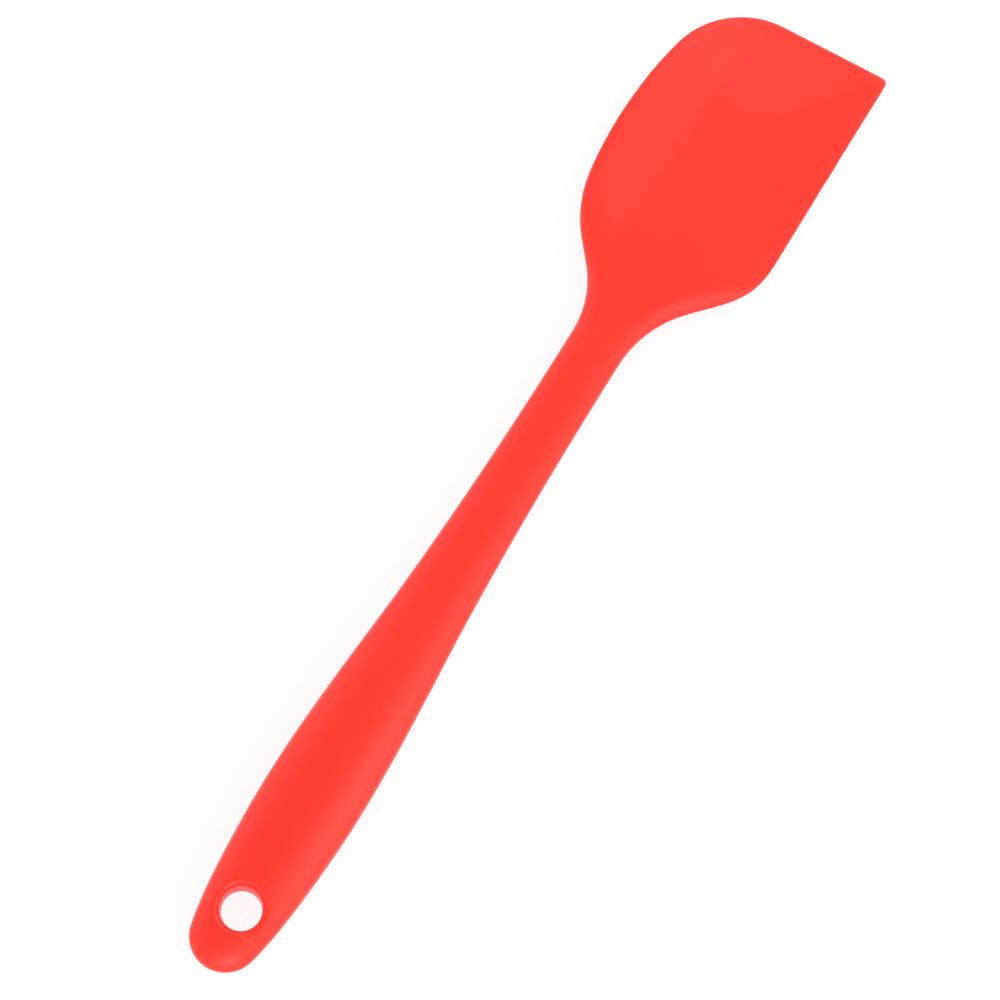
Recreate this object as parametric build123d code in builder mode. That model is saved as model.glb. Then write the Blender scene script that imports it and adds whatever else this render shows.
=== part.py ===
from build123d import *
from math import atan2, cos, pi, radians, sin, sqrt, tan
import os

os.makedirs("parts", exist_ok=True)

# Silicone spatula, a rigid core overmoulded with one piece of soft silicone, in millimetres.
# Y is the handle's centre line, with the blade towards +Y and its straight edge on +X.
# Z = 0 is the mould's parting plane, and the origin is the middle of the hang hole.
# A station is a distance along the centre line from the handle's rounded end, the butt,
# and the blade's places are measured back from the tip.

# Whole tool
overall_length = 280.0
hole_station = 16.25

# Handle, seen from above
butt_radius = 9.0
butt_lean = 15.5
grip_station = 50.2
grip_width = 24.95
grip_lead_in = 8.3
grip_swell = 16.2
grip_run_out = 33.2
neck_from_tip = 99.0
neck_width = 14.45
neck_run_in = 80.0

# Handle, seen from the side
butt_rise = 6.5
grip_depth = 15.0
grip_crown = 26.0
neck_depth = 8.8

# Blade, seen from above: the left side is the curved edge, the right side the straight one
flare_left_from_tip = 87.2
flare_right_from_tip = 86.6
neck_bend_left = 25.6
neck_bend_right = 29.8
shoulder_left_from_tip = 69.2
shoulder_right_from_tip = 65.0
shoulder_radius_left = 32.7
shoulder_radius_right = 21.4
widest_from_tip = 43.0
blade_left = 26.25
side_radius_left = 110.0
blade_right = 27.2
tip_right = 26.7
tip_skew = 2.7
round_corner_radius = 22.5

# Blade, in depth: a thick flat ridge with bevels down to a thin lip
ridge_left = 10.1
ridge_right = 7.3
ridge_blend = 3.0
ridge_depth = 5.0
lip_depth = 1.6
lip_nose = 1.6
lip_draft = 0.1
tip_bevel = 24.0
tip_nose = 1.2

# Hang hole, narrowest at the parting plane and opening towards both faces
bore_radius = 5.15
bore_land = 3.6
mouth_radius = 5.75
mouth_rounding = 1.1

# Rigid core: an eye round the hole, a bar down the handle and a paddle in the blade
bore_liner = 1.4
eye_band = 2.2
eye_depth = 4.0
bar_start_width = 8.0
paddle_width = 13.0
paddle_depth = 2.4
paddle_from_tip = 74.0
paddle_clearance = 4.0
paddle_corner = 4.0
slot_length = 16.0
slot_width = 3.0
slot_count = 4
paddle_hole_radius = 2.2
paddle_hole_count = 3

overrun = 10.0

# How many cuts shape each stretch, and the shares that the sections and the core follow
butt_cuts = 5
handle_cuts = 12
blade_cuts = 18
tip_cuts = 10
nose_cuts = 3
ridge_share = 0.5
flat_top_share = 0.4
bevel_share = 0.8
core_share = 0.56
nose_share = 0.35


def place(station):
    """Y of a station on the centre line."""
    return station - hole_station


def side_left(station):
    """Half-width of the blade's curved side, a long arc that is widest at its own station."""
    drop = station - widest_station
    return blade_left - side_radius_left + sqrt(side_radius_left**2 - drop**2)


# The tool seen from above, each side drawn from the butt to the tip
neck_station = overall_length - neck_from_tip
widest_station = overall_length - widest_from_tip
shoulder_station = overall_length - shoulder_left_from_tip
butt = place(0)
grip = place(grip_station)
neck = place(neck_station)
tip = place(overall_length)
flare_left = tip - flare_left_from_tip
flare_right = tip - flare_right_from_tip
lean = radians(butt_lean)
butt_end = Vector(butt_radius * cos(lean), butt + butt_radius * (1 - sin(lean)))
lead_in = butt_end + Vector(sin(lean), cos(lean)) * grip_lead_in
half_grip = grip_width / 2
half_neck = neck_width / 2
corner_station = overall_length - tip_skew
shoulder = Vector(-side_left(shoulder_station), place(shoulder_station))
widest = Vector(-blade_left, place(widest_station))
corner = Vector(-side_left(corner_station), place(corner_station))


def handle_side(side):
    """One side of the handle, from the middle of the butt to the neck."""
    CenterArc((0, butt + butt_radius), butt_radius, 270, side * (90 - butt_lean))
    Bezier(
        (side * butt_end.X, butt_end.Y),
        (side * lead_in.X, lead_in.Y),
        (side * half_grip, grip - grip_swell),
        (side * half_grip, grip),
    )
    Bezier(
        (side * half_grip, grip),
        (side * half_grip, grip + grip_run_out),
        (side * half_neck, neck - neck_run_in),
        (side * half_neck, neck),
    )


with BuildSketch() as plan:
    with BuildLine():
        handle_side(-1)
        handle_side(1)
        right = Polyline(
            (half_neck, neck),
            (half_neck, flare_right),
            (blade_right, tip - shoulder_right_from_tip),
            (tip_right, tip),
        )
        Polyline((-half_neck, neck), (-half_neck, flare_left), shoulder)
        ThreePointArc(shoulder, widest, corner)
        Line(corner, right @ 1)
    make_face()

    def rounded(x, y, radius):
        """Round the outline's corner at one point."""
        fillet(plan.vertices().sort_by_distance(Vector(x, y))[0], radius)

    rounded(half_neck, flare_right, neck_bend_right)
    rounded(-half_neck, flare_left, neck_bend_left)
    rounded(blade_right, tip - shoulder_right_from_tip, shoulder_radius_right)
    rounded(shoulder.X, shoulder.Y, shoulder_radius_left)
    rounded(corner.X, corner.Y, round_corner_radius)
    rounded(tip_right, tip, tip_nose)

# The tool seen from the side, from the butt to the tip
tip_lean = atan2(tip_skew, tip_right - corner.X)
tip_middle = corner.Y - corner.X * tan(tip_lean)
ridge_end = tip_middle - tip_bevel / cos(tip_lean)
half_grip_depth = grip_depth / 2
half_neck_depth = neck_depth / 2
half_ridge = ridge_depth / 2
half_lip = lip_depth / 2

with BuildSketch() as profile:
    with BuildLine():
        Bezier(
            (butt, 0),
            (butt, butt_rise),
            (grip - grip_crown, half_grip_depth),
            (grip, half_grip_depth),
        )
        Bezier(
            (grip, half_grip_depth),
            (grip + grip_run_out, half_grip_depth),
            (neck - neck_run_in, half_neck_depth),
            (neck, half_neck_depth),
        )
        Polyline(
            (neck, half_neck_depth),
            (ridge_end, half_ridge),
            (tip_middle, half_lip),
            (tip_middle, 0),
        )
        mirror(about=Plane.XZ)
    make_face()


def cut_plane(middle, turn):
    """Upright plane across the centre line, turned towards the slant of the blade's tip."""
    across = Vector(cos(turn), sin(turn))
    return Plane(origin=(0, middle, 0), x_dir=across, z_dir=across.cross(Vector(0, 0, 1)))


def half_widths(plane):
    """How far the outline seen from above reaches to the left and right in one plane."""
    reach = plane.x_dir * overall_length
    line = Edge.make_line(plane.origin - reach, plane.origin + reach)
    ends = plan.face().intersect(line).vertices().sort_by(Axis.X)
    return [(Vector(end) - plane.origin).length for end in (ends[0], ends[-1])]


def half_depth(middle):
    """How high the outline seen from the side reaches at one place along the centre line."""
    line = Edge.make_line((middle, 0), (middle, overall_length))
    return profile.face().intersect(line)[0].length


def mix(first, second, share):
    """Points part of the way from one list to another."""
    return [a + (b - a) * share for a, b in zip(first, second)]


def arc_pull(turn):
    """How far a cubic curve's control points stand from its ends, for an arc of radius 1."""
    return 4 / 3 * tan(turn / 4)


def flank(reach, crown, ridge, flatness, bevelling):
    """Control points from the edge up to the ridge, and one more along the ridge's top.

    The handle is an oval, the start of the blade has a flat top with round flanks, and the
    rest of the blade has straight bevels down to the lip.
    """
    turn = pi / 3
    pull = arc_pull(turn)
    oval = [
        Vector(reach, 0),
        Vector(reach, crown * pull),
        Vector(reach * (cos(turn) + pull * sin(turn)), crown * (sin(turn) - pull * cos(turn))),
        Vector(reach * cos(turn), crown * sin(turn)),
        Vector(reach * (cos(turn) - pull * sin(turn)), crown * (sin(turn) + pull * cos(turn))),
    ]
    quarter = arc_pull(pi / 2)
    edge = min(half_lip, crown)
    bevel_width = reach - ridge
    top = Vector(ridge / 3, crown)
    round_flank = [
        Vector(reach, 0),
        Vector(reach, crown * quarter),
        Vector(ridge + bevel_width * quarter, crown),
        Vector(ridge, crown),
        top,
    ]
    nose = min(lip_nose, bevel_width / 2)
    bevelled = [
        Vector(reach, 0),
        Vector(reach - lip_draft, edge),
        Vector(reach - nose, edge + (crown - edge) * nose / bevel_width),
        Vector(ridge, crown),
        top,
    ]
    return mix(oval, mix(round_flank, bevelled, bevelling), flatness)


def ridge_reach(limit, reach):
    """How far the ridge reaches to one side: a share of the reach that levels off at its limit."""
    grown = reach * ridge_share
    return (limit + grown - sqrt((limit - grown) ** 2 + ridge_blend**2)) / 2


def section(plane, left, right):
    """The upper half of a section, from the control points of its two flanks."""
    with BuildLine(plane) as outline:
        Bezier(*[(-point.X, point.Y) for point in left[:4]])
        Bezier(*[(-point.X, point.Y) for point in left[3:]], *[(p.X, p.Y) for p in right[:2:-1]])
        Bezier(*[(point.X, point.Y) for point in right[3::-1]])
    return outline.edges()


def closed(upper):
    """The whole section, from its upper half."""
    return Wire(upper + [edge.mirror(Plane.XY) for edge in upper])


def smooth(share):
    """Ease from 0 to 1 with no kink at either end."""
    share = min(max(share, 0), 1)
    return share * share * (3 - 2 * share)


def body_section(station):
    """Section of the handle, the flare or the ridge of the blade."""
    along = (station - neck_station) / (widest_station - neck_station)
    plane = cut_plane(place(station), tip_lean * smooth(along))
    left, right = half_widths(plane)
    crown = half_depth(place(station))
    flatness = smooth(along / flat_top_share)
    bevelling = smooth(along / bevel_share)
    return section(
        plane,
        flank(left, crown, ridge_reach(ridge_left, left), flatness, bevelling),
        flank(right, crown, ridge_reach(ridge_right, right), flatness, bevelling),
    )


def tip_section(depth):
    """Section of the blade's tip, one depth in from the slanted tip edge."""
    plane = cut_plane(tip_middle - depth / cos(tip_lean), tip_lean)
    left, right = half_widths(plane)
    full_left, full_right = half_widths(cut_plane(ridge_end, tip_lean))
    along = depth / tip_bevel
    inward = min(depth / tip_nose, 1)
    rounding = nose_share + (1 - nose_share) * sqrt(1 - (1 - inward) ** 2)
    crown = (half_lip + (half_ridge - half_lip) * along) * rounding
    fade = ridge_reach(ridge_left, full_left) * left / full_left
    hip_start = right - lip_nose
    hip = hip_start + (ridge_reach(ridge_right, full_right) - hip_start) * along
    return section(plane, flank(left, crown, fade, 1, 1), flank(right, crown, hip, 1, 1))


def spread(first, last, cuts, ease):
    """Evenly counted values from one to another, the first left out."""
    return [first + (last - first) * ease(cut / cuts) for cut in range(1, cuts + 1)]


def quarter_turn(share):
    """How far in from its end a rounded end has come after a share of its quarter turn."""
    return 1 - cos(share * pi / 2)


# The skin in stretches: the handle, the blade as far as its ridge goes, the tip and its nose
handle_stations = spread(0, butt_radius, butt_cuts, quarter_turn)
handle_stations += spread(butt_radius, neck_station, handle_cuts, smooth)
blade_stations = [neck_station]
blade_stations += spread(neck_station, ridge_end + hole_station, blade_cuts, quarter_turn)
tip_depths = spread(tip_nose, tip_bevel, tip_cuts, quarter_turn)[::-1] + [tip_nose]
nose_depths = spread(0, tip_nose, nose_cuts, quarter_turn)[::-1] + [0]
handle_sections = [closed(body_section(station)) for station in handle_stations]
blade_sections = [Wire(body_section(station)) for station in blade_stations]
tip_sections = [Wire(tip_section(depth)) for depth in tip_depths]
nose_sections = [Wire(tip_section(depth)) for depth in nose_depths]
upper_skin = Shell.make_loft(blade_sections).faces()
upper_skin += Shell.make_loft(tip_sections).faces()
upper_skin += Shell.make_loft(nose_sections).faces()
skin = Shell.make_loft([Vertex(0, butt, 0)] + handle_sections).faces()
skin += upper_skin + [face.mirror(Plane.XY) for face in upper_skin]
skin += [Face(closed(tip_section(0)))]

# Hang hole's shape, through both faces of the handle
hole_end = half_grip_depth + overrun
half_land = bore_land / 2
opening = (mouth_radius - bore_radius) / (half_depth(0) - half_land)
end_radius = bore_radius + opening * (hole_end - half_land)

with BuildPart() as hole:
    with BuildSketch(Plane.XZ):
        with BuildLine():
            Polyline(
                (0, hole_end),
                (end_radius, hole_end),
                (bore_radius, half_land),
                (bore_radius, -half_land),
                (end_radius, -hole_end),
                (0, -hole_end),
                close=True,
            )
        make_face()
    revolve(axis=Axis.Z)

# Rigid core: the shape seen from above, cut to the shape seen from the side
eye_inner = bore_radius + bore_liner
eye_radius = eye_inner + eye_band
half_eye = eye_depth / 2
half_start = bar_start_width / 2
bar_grip = half_grip * core_share
bar_neck = half_neck * core_share
bar_grip_depth = half_grip_depth * core_share
bar_neck_depth = half_neck_depth * core_share
swell = grip - grip_swell
half_paddle = paddle_width / 2
half_paddle_depth = paddle_depth / 2
paddle = tip - paddle_from_tip
paddle_end = ridge_end - paddle_clearance
paddle_start = (neck + paddle) / 2
first_slot = eye_radius + slot_length
slot_pitch = (neck - slot_length - first_slot) / (slot_count - 1)
hole_pitch = (paddle_end - paddle) / paddle_hole_count

with BuildPart() as core:
    with BuildSketch() as core_plan:
        Circle(eye_radius)
        with BuildLine():
            for side in (1, -1):
                Bezier(
                    (side * half_start, 0),
                    (side * half_start, swell),
                    (side * bar_grip, swell),
                    (side * bar_grip, grip),
                )
                Bezier(
                    (side * bar_grip, grip),
                    (side * bar_grip, grip + grip_run_out),
                    (side * bar_neck, neck - neck_run_in),
                    (side * bar_neck, neck),
                )
                Bezier(
                    (side * bar_neck, neck),
                    (side * bar_neck, paddle_start),
                    (side * half_paddle, paddle_start),
                    (side * half_paddle, paddle),
                )
                Line((side * half_paddle, paddle), (side * half_paddle, paddle_end))
            Line((-half_start, 0), (half_start, 0))
            Line((-half_paddle, paddle_end), (half_paddle, paddle_end))
        make_face()
        fillet(core_plan.vertices().group_by(Axis.Y)[-1], paddle_corner)
        Circle(eye_inner, mode=Mode.SUBTRACT)
        slots = [(0, first_slot + slot_pitch * slot) for slot in range(slot_count)]
        with Locations(*slots):
            SlotOverall(slot_length, slot_width, rotation=90, mode=Mode.SUBTRACT)
        keys = [(0, paddle + hole_pitch * (key + 1 / 2)) for key in range(paddle_hole_count)]
        with Locations(*keys):
            Circle(paddle_hole_radius, mode=Mode.SUBTRACT)
    extrude(amount=half_grip_depth, both=True)
    with BuildSketch(Plane.YZ):
        with BuildLine():
            Polyline((-eye_radius, 0), (-eye_radius, half_eye), (eye_radius, half_eye))
            Bezier(
                (eye_radius, half_eye),
                (swell, half_eye),
                (swell, bar_grip_depth),
                (grip, bar_grip_depth),
            )
            Bezier(
                (grip, bar_grip_depth),
                (grip + grip_run_out, bar_grip_depth),
                (neck - neck_run_in, bar_neck_depth),
                (neck, bar_neck_depth),
            )
            Bezier(
                (neck, bar_neck_depth),
                (paddle_start, bar_neck_depth),
                (paddle_start, half_paddle_depth),
                (paddle, half_paddle_depth),
            )
            Polyline((paddle, half_paddle_depth), (paddle_end, half_paddle_depth), (paddle_end, 0))
            mirror(about=Plane.XZ)
        make_face()
    extrude(amount=half_grip, both=True, mode=Mode.INTERSECT)

with BuildPart() as body:
    add(Solid(Shell(skin)))
    add(hole.part, mode=Mode.SUBTRACT)
    rims = body.edges(Select.LAST).sort_by(Axis.Z)
    fillet([rims[0], rims[-1]], mouth_rounding)
    add(core.part, mode=Mode.SUBTRACT)

body.part.label = "silicone_body"
core.part.label = "inner_core"
export_step(body.part, "parts/silicone_body.step")
export_step(core.part, "parts/inner_core.step")
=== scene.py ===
import bpy
import bmesh
from math import atan2, cos, hypot, pi, radians, sin, sqrt, tan
from mathutils import Matrix, Vector
from mathutils.geometry import interpolate_bezier, intersect_line_line_2d


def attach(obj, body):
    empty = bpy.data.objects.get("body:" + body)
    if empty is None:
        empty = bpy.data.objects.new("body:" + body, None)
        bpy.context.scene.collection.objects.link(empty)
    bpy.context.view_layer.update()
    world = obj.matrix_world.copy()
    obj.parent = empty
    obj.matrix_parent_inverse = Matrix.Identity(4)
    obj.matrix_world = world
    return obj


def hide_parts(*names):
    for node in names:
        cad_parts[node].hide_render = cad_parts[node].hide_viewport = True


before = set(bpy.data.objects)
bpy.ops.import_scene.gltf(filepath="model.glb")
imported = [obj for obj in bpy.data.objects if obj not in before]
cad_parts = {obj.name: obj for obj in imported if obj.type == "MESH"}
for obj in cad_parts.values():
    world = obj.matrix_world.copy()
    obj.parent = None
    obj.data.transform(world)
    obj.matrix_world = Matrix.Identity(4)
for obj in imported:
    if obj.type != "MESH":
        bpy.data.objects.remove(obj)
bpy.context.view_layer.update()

scene = bpy.context.scene
root = scene.collection
mm = 0.001
plainWhite = (1, 1, 1, 1)

# the view

photoView = {
    "lookAt": Vector((0, 120.77, 0)) * mm,
    "distance": 1476 * mm,
    "lens": 213.84,
    "sensor": 36,
    "clipEnd": 20,
    "tilt": radians(11.5),      # from straight above, towards the picture's bottom
    "turn": radians(31.65),     # the handle leans this far from the picture's upright
}
pictureUp = Vector((-sin(photoView["turn"]), cos(photoView["turn"]), 0))
pictureRight = Vector((cos(photoView["turn"]), sin(photoView["turn"]), 0))
zUp = Vector((0, 0, 1))


def makeCamera():
    tilt = photoView["tilt"]
    back = -sin(tilt) * pictureUp + cos(tilt) * zUp
    up = cos(tilt) * pictureUp + sin(tilt) * zUp
    data = bpy.data.cameras.new("photoCamera")
    data.sensor_width = photoView["sensor"]
    data.lens = photoView["lens"]
    data.clip_end = photoView["clipEnd"]
    camera = bpy.data.objects.new("photoCamera", data)
    turned = Matrix((up.cross(back), up, back)).transposed().to_4x4()
    place = photoView["lookAt"] + back * photoView["distance"]
    camera.matrix_world = Matrix.Translation(place) @ turned
    root.objects.link(camera)
    scene.camera = camera


makeCamera()
print("camera made")

# nodes that the light, the floor and the materials share


def mathNode(nodes, operation, value=None):
    made = nodes.new("ShaderNodeMath")
    made.operation = operation
    if value is not None:
        made.inputs[1].default_value = value
    return made


def rangeNode(nodes, before, after=(0, 1)):
    made = nodes.new("ShaderNodeMapRange")
    made.inputs["From Min"].default_value, made.inputs["From Max"].default_value = before
    made.inputs["To Min"].default_value, made.inputs["To Max"].default_value = after
    return made


def colourMix(nodes):
    made = nodes.new("ShaderNodeMix")
    made.data_type = "RGBA"
    return made


def seenWhite(nodes, links):
    # one for a ray from the camera, a reflection or glass, which sees plain white round the object
    path = nodes.new("ShaderNodeLightPath")
    seen = path.outputs["Is Camera Ray"]
    for kind in ("Is Glossy Ray", "Is Transmission Ray"):
        either = mathNode(nodes, "MAXIMUM")
        links.new(seen, either.inputs[0])
        links.new(path.outputs[kind], either.inputs[1])
        seen = either.outputs[0]
    return seen


# soft light: a pale tent all round and five weak lamps, most of them on the right

tent = {
    "base": 0.6,
    "horizon": 2.2,             # how much brighter the tent is low down
    "horizonTop": 0.55,         # height of a unit direction at which that has faded out
    # each lamp's place and aim, in millimetres right, up and off the picture's middle,
    # then its size in metres and its power
    "lamps": {
        "tipLamp": ((18, 416, 390), (60, 100, 0), (0.2, 0.2), 0.4),
        "sideLamp": ((200, -175, 200), (-50, -60, 0), (0.2, 0.3), 0.275),
        "bladeLamp": ((380, 260, 240), (90, 130, 0), (0.3, 0.3), 0.9),
        "leftLamp": ((-300, 250, 250), (0, 0, 0), (0.2, 0.2), 0.05),
        "buttLamp": ((-40, -420, 220), (-75, -90, 0), (0.3, 0.16), 0.5),
    },
}


def inPicture(place):
    right, up, height = place
    return (right * pictureRight + up * pictureUp + height * zUp) * mm


def makeLamp(name, place, aim, size, power):
    data = bpy.data.lights.new(name, "AREA")
    data.shape = "ELLIPSE"
    data.size, data.size_y = size
    data.energy = power
    lamp = bpy.data.objects.new(name, data)
    lamp.location = photoView["lookAt"] + inPicture(place)
    lamp.rotation_euler = (inPicture(place) - inPicture(aim)).to_track_quat("Z", "Y").to_euler()
    root.objects.link(lamp)


def makeLight():
    world = bpy.data.worlds.new("tentWorld")
    scene.world = world
    world.use_nodes = True
    nodes, links = world.node_tree.nodes, world.node_tree.links
    nodes.clear()
    lit = nodes.new("ShaderNodeBackground")
    lit.inputs["Color"].default_value = plainWhite
    look = nodes.new("ShaderNodeTexCoord")
    height = nodes.new("ShaderNodeSeparateXYZ")
    rise = rangeNode(nodes, (tent["horizonTop"], 0), (tent["base"], tent["base"] + tent["horizon"]))
    rise.interpolation_type = "SMOOTHSTEP"
    links.new(look.outputs["Generated"], height.inputs[0])
    links.new(height.outputs["Z"], rise.inputs["Value"])
    links.new(rise.outputs["Result"], lit.inputs["Strength"])
    white = nodes.new("ShaderNodeBackground")
    white.inputs["Color"].default_value = plainWhite
    white.inputs["Strength"].default_value = 1
    mix = nodes.new("ShaderNodeMixShader")
    out = nodes.new("ShaderNodeOutputWorld")
    links.new(seenWhite(nodes, links), mix.inputs[0])
    links.new(lit.outputs[0], mix.inputs[1])
    links.new(white.outputs[0], mix.inputs[2])
    links.new(mix.outputs[0], out.inputs["Surface"])
    for name, values in tent["lamps"].items():
        makeLamp(name, *values)


makeLight()
scene.view_settings.view_transform = "Standard"
print("light made")

# floor, which touches the grip's belly and the start of the blade

floorSize = {
    "half": 3000 * mm,
    "under": 7.5 * mm,          # below the centre line, at the grip
    "at": 36.25 * mm,
    "rise": 0.0238,             # slope towards the blade, which is thinner than the grip
    "colour": (0.9, 0.9, 0.9, 1),
    "shadowShare": 0.12,
}


def floorMaterial():
    mat = bpy.data.materials.new("paleFloor")
    mat.use_nodes = True
    nodes, links = mat.node_tree.nodes, mat.node_tree.links
    nodes.clear()
    matte = nodes.new("ShaderNodeBsdfDiffuse")
    matte.inputs["Color"].default_value = floorSize["colour"]
    white = nodes.new("ShaderNodeEmission")
    white.inputs["Color"].default_value = plainWhite
    white.inputs["Strength"].default_value = 1
    share = mathNode(nodes, "MULTIPLY", 1 - floorSize["shadowShare"])
    mix = nodes.new("ShaderNodeMixShader")
    out = nodes.new("ShaderNodeOutputMaterial")
    links.new(seenWhite(nodes, links), share.inputs[0])
    links.new(share.outputs[0], mix.inputs[0])
    links.new(matte.outputs[0], mix.inputs[1])
    links.new(white.outputs[0], mix.inputs[2])
    links.new(mix.outputs[0], out.inputs["Surface"])
    return mat


def makeFloor():
    bm = bmesh.new()
    bmesh.ops.create_grid(bm, x_segments=1, y_segments=1, size=floorSize["half"])
    for vert in bm.verts:
        vert.co.z = -floorSize["under"] + (vert.co.y - floorSize["at"]) * floorSize["rise"]
    mesh = bpy.data.meshes.new("floor")
    bm.to_mesh(mesh)
    bm.free()
    mesh.materials.append(floorMaterial())
    floor = bpy.data.objects.new("floor", mesh)
    root.objects.link(floor)


makeFloor()
print("floor made")

# silicone body: a fresh skin over the CAD solid, worked in millimetres and scaled at the end,
# with soft creases, a fine parting line and rounded hole mouths

body = {
    "grip": 33.95,              # places along the centre line, from the middle of the hang hole
    "neck": 164.75,
    "widest": 220.75,
    "buttRise": 6.5,
    "gripDepth": 15,
    "gripCrown": 26,
    "gripRunOut": 33.2,
    "neckRunIn": 80,
    "neckDepth": 8.8,
    "ridgeDepth": 5,
    "ridgeLeft": 10.1,
    "ridgeRight": 7.3,
    "ridgeBlend": 3,
    "ridgeShare": 0.5,
    # shares of the way from the neck to the widest place
    "flatTopShare": 0.6,
    "bevelShares": (0.42, 0.95),
    "flareShares": (0.1, 0.36, 0.44, 0.8),
    "flareWidth": 9.5,          # the rounded slope along the right flare
    "ovalTurn": pi / 3,         # how far round an oval its flank reaches
    "lipDepth": 1.6,
    "lipNose": 1.6,
    "lipDraft": 0.1,
    "coreStart": -9.5,
    "coreEnd": 236,
    "tipMiddle": 262.16,
    "tipLean": radians(3.41),
    "tipBevel": 24,
    "tipNose": 1.2,
    "tipLast": 0.01,            # the last full row's depth behind the tip
    "noseShare": 0.35,
    "partingLine": 0.07,
}
ridgeEnd = body["tipMiddle"] - body["tipBevel"] / cos(body["tipLean"])


def smooth(share):
    share = min(max(share, 0), 1)
    return share * share * (3 - 2 * share)


def between(share, start, end):
    return smooth((share - start) / (end - start))


def roundStart(share):
    return 1 - cos(share * pi / 2)


def bothEnds(share):
    return (1 - cos(share * pi)) / 2


def bezierAt(points, share):
    while len(points) > 1:
        points = [a.lerp(b, share) for a, b in zip(points, points[1:])]
    return points[0]


# how the body's outline is read off the CAD solid
outline = {
    "flat": 1e-7,               # metres off the parting plane that still count as on it
    "onMiddle": 1e-3,
    "digits": 3,
    "apart": 0.02,              # closer corners count as one
    "curveSteps": 6,
    "bladeMiddle": 210.75,      # the blade's corners are put in order round this place
    "nudge": 0.1,               # where the ray that looks for the core's pocket starts
    "above": 0.2,
    "far": 100,                 # beyond the outline on either side
}


def isOutside(node, mark):
    # whether a point of the parting plane is on the outer skin and not on the core's pocket
    if not body["coreStart"] < mark[1] < body["coreEnd"]:
        return True
    side = 1 if mark[0] > 0 else -1
    start = Vector((mark[0] + side * outline["nudge"], mark[1], outline["above"])) * mm
    return not node.ray_cast(start, (side, 0, 0))[0]


def rimPoints(node):
    # the CAD solid's corners in its parting plane, in order round the outline
    flat = [vert.co for vert in node.data.vertices if abs(vert.co.z) < outline["flat"]]
    digits = outline["digits"]
    marks = {(round(co.x / mm, digits), round(co.y / mm, digits)) for co in flat}
    marks = [Vector(mark) for mark in marks if isOutside(node, mark)]
    handle = sorted([mark for mark in marks if mark.y < body["neck"]], key=lambda mark: mark.y)
    right = [mark for mark in handle if mark.x > -outline["onMiddle"]]
    left = [mark for mark in handle[::-1] if mark.x < -outline["onMiddle"]]
    blade = [mark for mark in marks if mark.y >= body["neck"]]
    middle = outline["bladeMiddle"]
    blade.sort(key=lambda mark: (atan2(mark.y - middle, mark.x) + pi / 2) % (2 * pi))
    loop = right + blade + left
    pairs = zip(loop, loop[-1:] + loop)
    return [mark for mark, last in pairs if (mark - last).length > outline["apart"]]


def rimLoop(node):
    # smooth curves laid through the outline's points
    points = rimPoints(node)
    count = len(points)
    loop = []
    for at, point in enumerate(points):
        last, following, later = points[at - 1], points[(at + 1) % count], points[(at + 2) % count]
        pull = (following - point).length / 3
        leave = point + (following - last).normalized() * pull
        arrive = following - (later - point).normalized() * pull
        loop += interpolate_bezier(point, leave, arrive, following, outline["curveSteps"])[:-1]
    return loop


rim = rimLoop(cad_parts["silicone_body"])
butt = min(point.y for point in rim)


def reaches(middle, turn):
    # how far the outline lies to the left and right of a point on the centre line
    across = Vector((cos(turn), sin(turn)))
    centre = Vector((0, middle))
    far = across * outline["far"]
    edges = zip(rim, rim[1:] + rim[:1])
    hits = [intersect_line_line_2d(centre - far, centre + far, a, b) for a, b in edges]
    sides = [(hit - centre).dot(across) for hit in hits if hit]
    return -min(sides), max(sides)


def profileCurves():
    # the side view's outline, from the butt up to the grip and from there down to the neck
    grip, neck = body["grip"], body["neck"]
    halfGrip, halfNeck = body["gripDepth"] / 2, body["neckDepth"] / 2
    rise = ((butt, 0), (butt, body["buttRise"]), (grip - body["gripCrown"], halfGrip), (grip, halfGrip))
    leave, arrive = grip + body["gripRunOut"], neck - body["neckRunIn"]
    fall = ((grip, halfGrip), (leave, halfGrip), (arrive, halfNeck), (neck, halfNeck))
    return [[Vector(point) for point in curve] for curve in (rise, fall)]


profile = profileCurves()
halvings = 24


def halfDepth(middle):
    # height of the side view's outline at one place along the centre line
    for curve in profile:
        if middle <= curve[-1].x:
            low, high = 0, 1
            for _ in range(halvings):
                share = (low + high) / 2
                if bezierAt(curve, share).x < middle:
                    low = share
                else:
                    high = share
            return bezierAt(curve, low).y
    along = (middle - body["neck"]) / (ridgeEnd - body["neck"])
    return (body["neckDepth"] + (body["ridgeDepth"] - body["neckDepth"]) * along) / 2


def arcPull(turn):
    return 4 / 3 * tan(turn / 4)


def flank(reach, crown, ridge, flatness, bevelling, flare=0):
    # control points from the edge up to the ridge, and one more along the ridge's top
    turn = body["ovalTurn"]
    pull, quarter = arcPull(turn), arcPull(pi / 2)
    oval = [
        (reach, 0),
        (reach, crown * pull),
        (reach * (cos(turn) + pull * sin(turn)), crown * (sin(turn) - pull * cos(turn))),
        (reach * cos(turn), crown * sin(turn)),
        (reach * (cos(turn) - pull * sin(turn)), crown * (sin(turn) + pull * cos(turn))),
    ]
    width = reach - ridge
    top = (ridge / 3, crown)
    edge = min(body["lipDepth"] / 2, crown)
    rise = crown * quarter * (1 - flare) + edge * flare
    roundFlank = [(reach, 0), (reach, rise), (ridge + width * quarter, crown), (ridge, crown), top]
    nose = min(body["lipNose"], width / 2)
    inner = (reach - nose, edge + (crown - edge) / width * nose)
    bevelled = [(reach, 0), (reach - body["lipDraft"], edge), inner, (ridge, crown), top]
    points = []
    for a, b, c in zip(oval, roundFlank, bevelled):
        points.append(Vector(a).lerp(Vector(b).lerp(Vector(c), bevelling), flatness))
    return points


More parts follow.
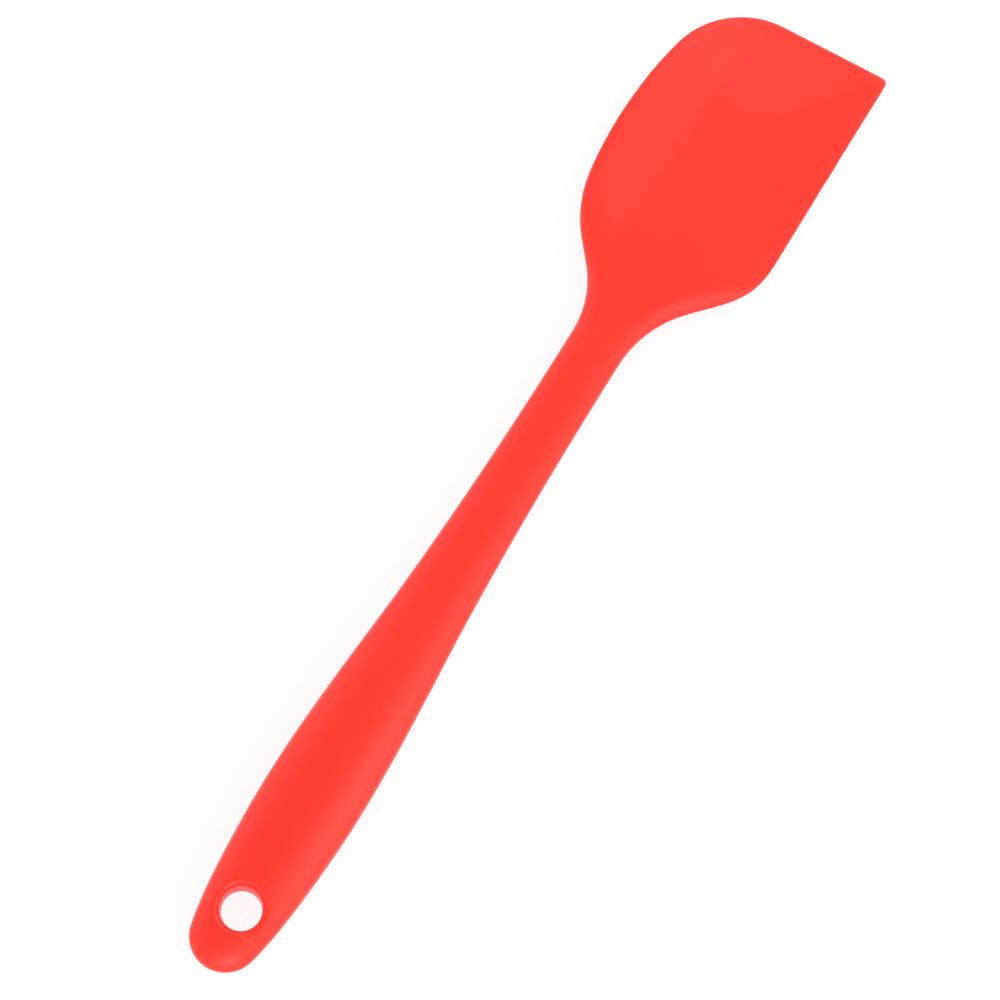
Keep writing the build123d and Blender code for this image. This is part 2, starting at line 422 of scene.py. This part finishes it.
def ridgeReach(limit, reach):
    grown = reach * body["ridgeShare"]
    return (limit + grown - sqrt((limit - grown) ** 2 + body["ridgeBlend"] ** 2)) / 2


def flareRidge(right, flare):
    # the right flare's ridge stays one slope's width inside the outline
    ridge = ridgeReach(body["ridgeRight"], right)
    beyond = right - body["flareWidth"] - ridge
    return ridge + flare * (beyond + hypot(beyond, body["ridgeBlend"])) / 2


# how many columns a flank and half the top have, and how many rows each stretch has
net = {
    "flank": 24,
    "halfTop": 8,
    "patchFlank": 17,
    "handle": 140,
    "blade": 76,
    "tip": 34,
    "nose": 6,
    "rowEase": 0.41,            # how much shorter the handle's rows are by the hole
    "creaseRim": 9,             # columns and rows that the creases' smoothing leaves alone
    "creaseEnds": 4,
    "creasePasses": 6,
    "creaseFactor": 0.5,
    "sortDigits": 6,
    "weld": 1e-5,
    "mirrorWeld": 1e-4,
}
halfColumns = net["flank"] + net["halfTop"]
patchColumns = halfColumns - net["patchFlank"]
holeRow = halfColumns


def sectionPoints(middle, turn, left, right):
    # one row of the upper skin, from the left edge over the top to the right edge
    flankShares = [bothEnds(step / net["flank"]) for step in range(net["flank"])]
    topShares = [step / (2 * net["halfTop"]) for step in range(2 * net["halfTop"] + 1)]
    low = [bezierAt(left[:4], share) for share in flankShares]
    top = [Vector((-left[3].x, left[3].y)), Vector((-left[4].x, left[4].y)), right[4], right[3]]
    row = [Vector((-point.x, point.y)) for point in low]
    row += [bezierAt(top, share) for share in topShares]
    row += [bezierAt(right[:4], share) for share in flankShares[::-1]]
    return [Vector((point.x * cos(turn), middle + point.x * sin(turn), point.y)) for point in row]


def bodyRow(middle):
    along = (middle - body["neck"]) / (body["widest"] - body["neck"])
    turn = body["tipLean"] * smooth(along)
    left, right = reaches(middle, turn)
    crown = halfDepth(middle)
    flatness = smooth(along / body["flatTopShare"])
    bevelling = between(along, *body["bevelShares"])
    flare = between(along, *body["flareShares"][:2]) * (1 - between(along, *body["flareShares"][2:]))
    leftFlank = flank(left, crown, ridgeReach(body["ridgeLeft"], left), flatness, bevelling)
    rightFlank = flank(right, crown, flareRidge(right, flare), flatness, bevelling, flare)
    return sectionPoints(middle, turn, leftFlank, rightFlank)


ridgeEndReaches = reaches(ridgeEnd, body["tipLean"])


def tipRow(depth):
    middle = body["tipMiddle"] - depth / cos(body["tipLean"])
    left, right = reaches(middle, body["tipLean"])
    fullLeft, fullRight = ridgeEndReaches
    along = depth / body["tipBevel"]
    inward = min(depth / body["tipNose"], 1)
    rounding = body["noseShare"] + (1 - body["noseShare"]) * sqrt(1 - (1 - inward) ** 2)
    crown = (body["lipDepth"] + (body["ridgeDepth"] - body["lipDepth"]) * along) / 2 * rounding
    fade = ridgeReach(body["ridgeLeft"], fullLeft) * left / fullLeft
    hipStart = right - body["lipNose"]
    hip = hipStart + (ridgeReach(body["ridgeRight"], fullRight) - hipStart) * along
    leftFlank, rightFlank = flank(left, crown, fade, 1, 1), flank(right, crown, hip, 1, 1)
    return sectionPoints(middle, body["tipLean"], leftFlank, rightFlank)


def patchRadius():
    # the hole's patch reaches to a column's place abreast of the hole
    share = bothEnds(net["patchFlank"] / net["flank"])
    reach = reaches(0, 0)[0]
    return bezierAt(flank(reach, halfDepth(0), reach / 2, 0, 0)[:4], share).x


def rowPlaces():
    # places along the centre line of the handle's and the blade's rows
    radius = patchRadius()
    outside = holeRow - patchColumns
    places = [butt + (-radius - butt) * roundStart(row / outside) for row in range(outside)]
    places += [radius * row / patchColumns for row in range(-patchColumns, patchColumns + 1)]
    for row in range(1, net["handle"] + 1):
        share = row / net["handle"]
        eased = share * (net["rowEase"] + (1 - net["rowEase"]) * share)
        places.append(radius + (body["neck"] - radius) * eased)
    for row in range(1, net["blade"] + 1):
        places.append(body["neck"] + (ridgeEnd - body["neck"]) * sin(row / net["blade"] * pi / 2))
    return places


def netRows():
    # rows of the upper skin from the butt to the tip, the first and the last one flat
    places = rowPlaces()
    rows = [[Vector((0, butt, 0))] * (2 * halfColumns + 1)]
    rows += [bodyRow(place) for place in places[1:]]
    sloped = body["tipBevel"] - body["tipNose"]
    depths = [body["tipBevel"] - sloped * roundStart(row / net["tip"]) for row in range(1, net["tip"])]
    depths += [body["tipNose"] * (1 - sin(row / net["nose"] * pi / 2)) for row in range(net["nose"])]
    rows += [tipRow(depth) for depth in depths + [body["tipLast"]]]
    rows.append([Vector((point.x, point.y, 0)) for point in rows[-1]])
    return places, rows


# hang hole

bore = {
    "radius": 5.15,
    "halfLand": 1.8,
    "mouth": 5.75,
    "mouthHeight": 6.29,
    "rounding": 1.5,
    "cornerIn": 0.25,           # how far the mouth's round is pulled off the sharp corner
    "cornerDown": 0.45,
    "flash": 0.06,
    "mouthSteps": 6,
    "wallSteps": 5,
    "landHeights": (0.6, 0.12),
    "within": 8,                # the patch's open edge lies inside this radius
    "spokeDigits": 4,
}


def ovalHeight(x, y):
    reach = reaches(y, 0)[0]
    return halfDepth(y) * sqrt(max(0, 1 - (x / reach) ** 2))


def ringDirection(column, row, ring):
    # the net's square rings round the hole, turned into circles
    if abs(column) >= abs(row):
        angle = pi / 4 * row / ring
        return Vector((cos(angle) * (1 if column > 0 else -1), sin(angle)))
    angle = pi / 4 * column / ring
    return Vector((sin(angle), cos(angle) * (1 if row > 0 else -1)))


def shapeAroundHole(places, rows):
    # rings of the net turn from a circle at the hole into the plain net further out
    holeReach = reaches(0, 0)[0]
    shares = [point.x / holeReach for point in rows[holeRow]]
    for row in range(1, 2 * holeRow):
        offset = row - holeRow
        for at in range(1, 2 * halfColumns):
            column = at - halfColumns
            ring = max(abs(column), abs(offset))
            if ring < patchColumns:
                continue
            turned = ringDirection(column, offset, ring)
            out = (ring - patchColumns) / (halfColumns - patchColumns)
            fade, widen = smooth(out), smooth(2 * out)
            ringPlace = places[holeRow + ring] if offset > 0 else -places[holeRow - ring]
            share = turned.x * shares[halfColumns + ring] * (1 - fade) + shares[at] * fade
            y = turned.y * ringPlace * (1 - fade) + places[row] * fade
            x = share * (holeReach * (1 - widen) + reaches(y, 0)[0] * widen)
            rows[row][at] = Vector((x, y, ovalHeight(x, y)))


def wallRadius(height):
    along = (height - bore["halfLand"]) / (bore["mouthHeight"] - bore["halfLand"])
    return bore["radius"] + (bore["mouth"] - bore["radius"]) * max(along, 0)


def mouthCurve(start, flat):
    # the mouth's round, from the skin over the worn corner to the wall
    height = ovalHeight(flat.x * bore["mouth"], flat.y * bore["mouth"])
    bottom = height - bore["rounding"]
    corner = flat * (wallRadius(height) + bore["cornerIn"])
    foot = flat * wallRadius(bottom)
    return [start, Vector((*corner, height - bore["cornerDown"])), Vector((*foot, bottom))]


def makeBore(bm, ring):
    # mouth, wall and land, each step one extruded ring down to the parting plane
    mouthSteps, wallSteps, land = bore["mouthSteps"], bore["wallSteps"], bore["halfLand"]
    steps = [("mouth", step / mouthSteps) for step in range(1, mouthSteps + 1)]
    steps += [("wall", step / wallSteps) for step in range(1, wallSteps + 1)]
    steps += [("land", height) for height in bore["landHeights"]] + [("line", 0)]
    curves = {}
    for kind, share in steps:
        out = bmesh.ops.extrude_edge_only(bm, edges=ring)
        ring = [item for item in out["geom"] if isinstance(item, bmesh.types.BMEdge)]
        for vert in [item for item in out["geom"] if isinstance(item, bmesh.types.BMVert)]:
            flat = Vector((vert.co.x, vert.co.y)).normalized()
            key = round(atan2(flat.y, flat.x), bore["spokeDigits"])
            if key not in curves:
                curves[key] = mouthCurve(vert.co.copy(), flat)
            if kind == "mouth":
                vert.co = bezierAt(curves[key], share)
            elif kind == "wall":
                bottom = curves[key][-1].z
                z = bottom + (land - bottom) * share
                vert.co = (*(flat * wallRadius(z)), z)
            else:
                flash = bore["flash"] if kind == "line" else 0
                vert.co = (*(flat * (bore["radius"] - flash)), share)


def shapeNet(bm, rows):
    # the grid's vertices take their places, with a fine groove at the parting line
    bm.verts.ensure_lookup_table()
    width = 2 * halfColumns + 1
    spots = sorted(bm.verts, key=lambda vert: (round(vert.co.y, net["sortDigits"]), vert.co.x))
    vertRows = [spots[row * width:(row + 1) * width] for row in range(len(rows))]
    for vertRow, pointRow in zip(vertRows, rows):
        for vert, point in zip(vertRow, pointRow):
            vert.co = point
    for vertRow in vertRows[1:-1]:
        for vert in (vertRow[0], vertRow[-1]):
            vert.co.x -= body["partingLine"] * (1 if vert.co.x > 0 else -1)
    for vert in vertRows[-1]:
        vert.co.y -= body["partingLine"]
    return vertRows


def softenCreases(bm, vertRows):
    first = holeRow + patchColumns + net["handle"] + net["creaseEnds"]
    last = -net["nose"] - net["creaseEnds"]
    rimColumns = net["creaseRim"]
    creased = [vert for vertRow in vertRows[first:last] for vert in vertRow[rimColumns:-rimColumns]]
    everyWay = {"use_axis_x": True, "use_axis_y": True, "use_axis_z": True}
    for _ in range(net["creasePasses"]):
        bmesh.ops.smooth_vert(bm, verts=creased, factor=net["creaseFactor"], **everyWay)


def openHole(bm, vertRows):
    # clears the patch over the hole and gives back the edge that it leaves
    inPatch = range(holeRow - patchColumns + 1, holeRow + patchColumns)
    gone = [vertRows[row][at + halfColumns - holeRow] for row in inPatch for at in inPatch]
    bmesh.ops.delete(bm, geom=gone, context="VERTS")
    ring = []
    for edge in bm.edges:
        if edge.is_boundary and max(hypot(*vert.co.xy) for vert in edge.verts) < bore["within"]:
            ring.append(edge)
    return ring


def makeBody():
    places, rows = netRows()
    shapeAroundHole(places, rows)
    bm = bmesh.new()
    bmesh.ops.create_grid(bm, x_segments=2 * halfColumns, y_segments=len(rows) - 1, size=1)
    vertRows = shapeNet(bm, rows)
    softenCreases(bm, vertRows)
    makeBore(bm, openHole(bm, vertRows))
    bmesh.ops.remove_doubles(bm, verts=bm.verts, dist=net["weld"])
    upper = bm.verts[:] + bm.edges[:] + bm.faces[:]
    bmesh.ops.mirror(bm, geom=upper, axis="Z", merge_dist=net["mirrorWeld"])
    bmesh.ops.recalc_face_normals(bm, faces=bm.faces)
    bmesh.ops.scale(bm, vec=(mm, mm, mm), verts=bm.verts)
    print("body edges that aren't closed:", sum(not edge.is_manifold for edge in bm.edges))
    for face in bm.faces:
        face.smooth = True
    mesh = bpy.data.meshes.new("siliconeMoulding")
    bm.to_mesh(mesh)
    bm.free()
    moulding = bpy.data.objects.new("siliconeMoulding", mesh)
    root.objects.link(moulding)
    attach(moulding, "root")
    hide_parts("silicone_body")
    return moulding


moulding = makeBody()
print("silicone body made")

# materials: a fine moulded grain that both share, then the red silicone and the core's nylon

moulded = {
    # how much finer than the grain each noise is, and its detail
    "cloud": (0.03, 3),
    "specks": (1.6, 2),
    "dents": (0.12, 2),
    "grain": (1, 4),
    "speckRange": (0.68, 0.76),
    "dentStrength": 0.35,
    "grainStrength": 0.5,
    "cloudRange": (0.3, 0.7),
}


def grainGroup():
    # soft dents and a fine matte grain; out come a cloud mask, a speck mask and a bumped normal
    group = bpy.data.node_groups.new("mouldedGrain", "ShaderNodeTree")
    for name in ("Scale", "Depth"):
        group.interface.new_socket(name, in_out="INPUT", socket_type="NodeSocketFloat")
    for name, kind in (("Cloud", "Float"), ("Speck", "Float"), ("Normal", "Vector")):
        group.interface.new_socket(name, in_out="OUTPUT", socket_type="NodeSocket" + kind)
    nodes, links = group.nodes, group.links
    entry, exitNode = nodes.new("NodeGroupInput"), nodes.new("NodeGroupOutput")
    place = nodes.new("ShaderNodeTexCoord")

    def noise(finer, detail):
        made = nodes.new("ShaderNodeTexNoise")
        made.inputs["Detail"].default_value = detail
        scaled = mathNode(nodes, "MULTIPLY", finer)
        links.new(entry.outputs["Scale"], scaled.inputs[0])
        links.new(scaled.outputs[0], made.inputs["Scale"])
        links.new(place.outputs["Object"], made.inputs["Vector"])
        return made.outputs["Fac"]

    def bump(heights, strength):
        made = nodes.new("ShaderNodeBump")
        made.inputs["Strength"].default_value = strength
        links.new(heights, made.inputs["Height"])
        links.new(entry.outputs["Depth"], made.inputs["Distance"])
        return made

    links.new(noise(*moulded["cloud"]), exitNode.inputs["Cloud"])
    # speck mask: where the silicone gets lighter specks, both dust and painted glints of the grain's
    # sparkle
    specks = rangeNode(nodes, moulded["speckRange"])
    links.new(noise(*moulded["specks"]), specks.inputs["Value"])
    links.new(specks.outputs["Result"], exitNode.inputs["Speck"])
    dents = bump(noise(*moulded["dents"]), moulded["dentStrength"])
    grain = bump(noise(*moulded["grain"]), moulded["grainStrength"])
    links.new(dents.outputs["Normal"], grain.inputs["Normal"])
    links.new(grain.outputs["Normal"], exitNode.inputs["Normal"])
    return group


sharedGrain = grainGroup()
silicone = {
    "light": (0.98, 0.0217, 0.0084, 1),
    "dark": (0.94, 0.0195, 0.0073, 1),
    # lighter specks of colour, both dust and painted glints standing for the grain's sparkle in the
    # light
    "dustAndGlint": (0.95, 0.09, 0.07, 1),
    "dustAndGlintShare": 0.35,
    "roughness": (0.34, 0.42),
    "ior": 1.41,
    "sheen": 0.06,
    "sheenRoughness": 0.35,
    "sheenTint": (1, 0.8, 0.85, 1),
    "subsurface": 0.06,
    "subsurfaceRadius": (1, 0.25, 0.15),
    "subsurfaceScale": 1.2 * mm,
    "grainScale": 2600,
    "grainDepth": 0.035 * mm,
}
nylon = {
    "light": (0.62, 0.6, 0.54, 1),
    "dark": (0.55, 0.53, 0.47, 1),
    "roughness": (0.45, 0.6),
    "grainScale": 1400,
    "grainDepth": 0.08 * mm,
}


def grainyMaterial(name, looks):
    # a moulded material with clouded colour and roughness over the shared grain
    mat = bpy.data.materials.new(name)
    mat.use_nodes = True
    nodes, links = mat.node_tree.nodes, mat.node_tree.links
    bsdf = nodes["Principled BSDF"]
    surface = nodes.new("ShaderNodeGroup")
    surface.node_tree = sharedGrain
    surface.inputs["Scale"].default_value = looks["grainScale"]
    surface.inputs["Depth"].default_value = looks["grainDepth"]
    colour = colourMix(nodes)
    colour.inputs["A"].default_value = looks["light"]
    colour.inputs["B"].default_value = looks["dark"]
    rough = rangeNode(nodes, moulded["cloudRange"], looks["roughness"])
    links.new(surface.outputs["Cloud"], colour.inputs["Factor"])
    links.new(surface.outputs["Cloud"], rough.inputs["Value"])
    links.new(rough.outputs["Result"], bsdf.inputs["Roughness"])
    links.new(surface.outputs["Normal"], bsdf.inputs["Normal"])
    return mat, bsdf, surface, colour


def siliconeMaterial():
    mat, bsdf, surface, colour = grainyMaterial("redSilicone", silicone)
    nodes, links = mat.node_tree.nodes, mat.node_tree.links
    # painted glints and dust: lighter specks mixed into the red all over, not only where light falls
    share = mathNode(nodes, "MULTIPLY", silicone["dustAndGlintShare"])
    dustAndGlinted = colourMix(nodes)
    dustAndGlinted.inputs["B"].default_value = silicone["dustAndGlint"]
    links.new(surface.outputs["Speck"], share.inputs[0])
    links.new(share.outputs[0], dustAndGlinted.inputs["Factor"])
    links.new(colour.outputs["Result"], dustAndGlinted.inputs["A"])
    links.new(dustAndGlinted.outputs["Result"], bsdf.inputs["Base Color"])
    bsdf.inputs["IOR"].default_value = silicone["ior"]
    bsdf.inputs["Sheen Weight"].default_value = silicone["sheen"]
    bsdf.inputs["Sheen Roughness"].default_value = silicone["sheenRoughness"]
    bsdf.inputs["Sheen Tint"].default_value = silicone["sheenTint"]
    bsdf.inputs["Subsurface Weight"].default_value = silicone["subsurface"]
    bsdf.inputs["Subsurface Radius"].default_value = silicone["subsurfaceRadius"]
    bsdf.inputs["Subsurface Scale"].default_value = silicone["subsurfaceScale"]
    return mat


def nylonMaterial():
    mat, bsdf, _, colour = grainyMaterial("nylonCore", nylon)
    mat.node_tree.links.new(colour.outputs["Result"], bsdf.inputs["Base Color"])
    return mat


moulding.data.materials.append(siliconeMaterial())
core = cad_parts["inner_core"]
core.data.materials.clear()
core.data.materials.append(nylonMaterial())
print("materials made")
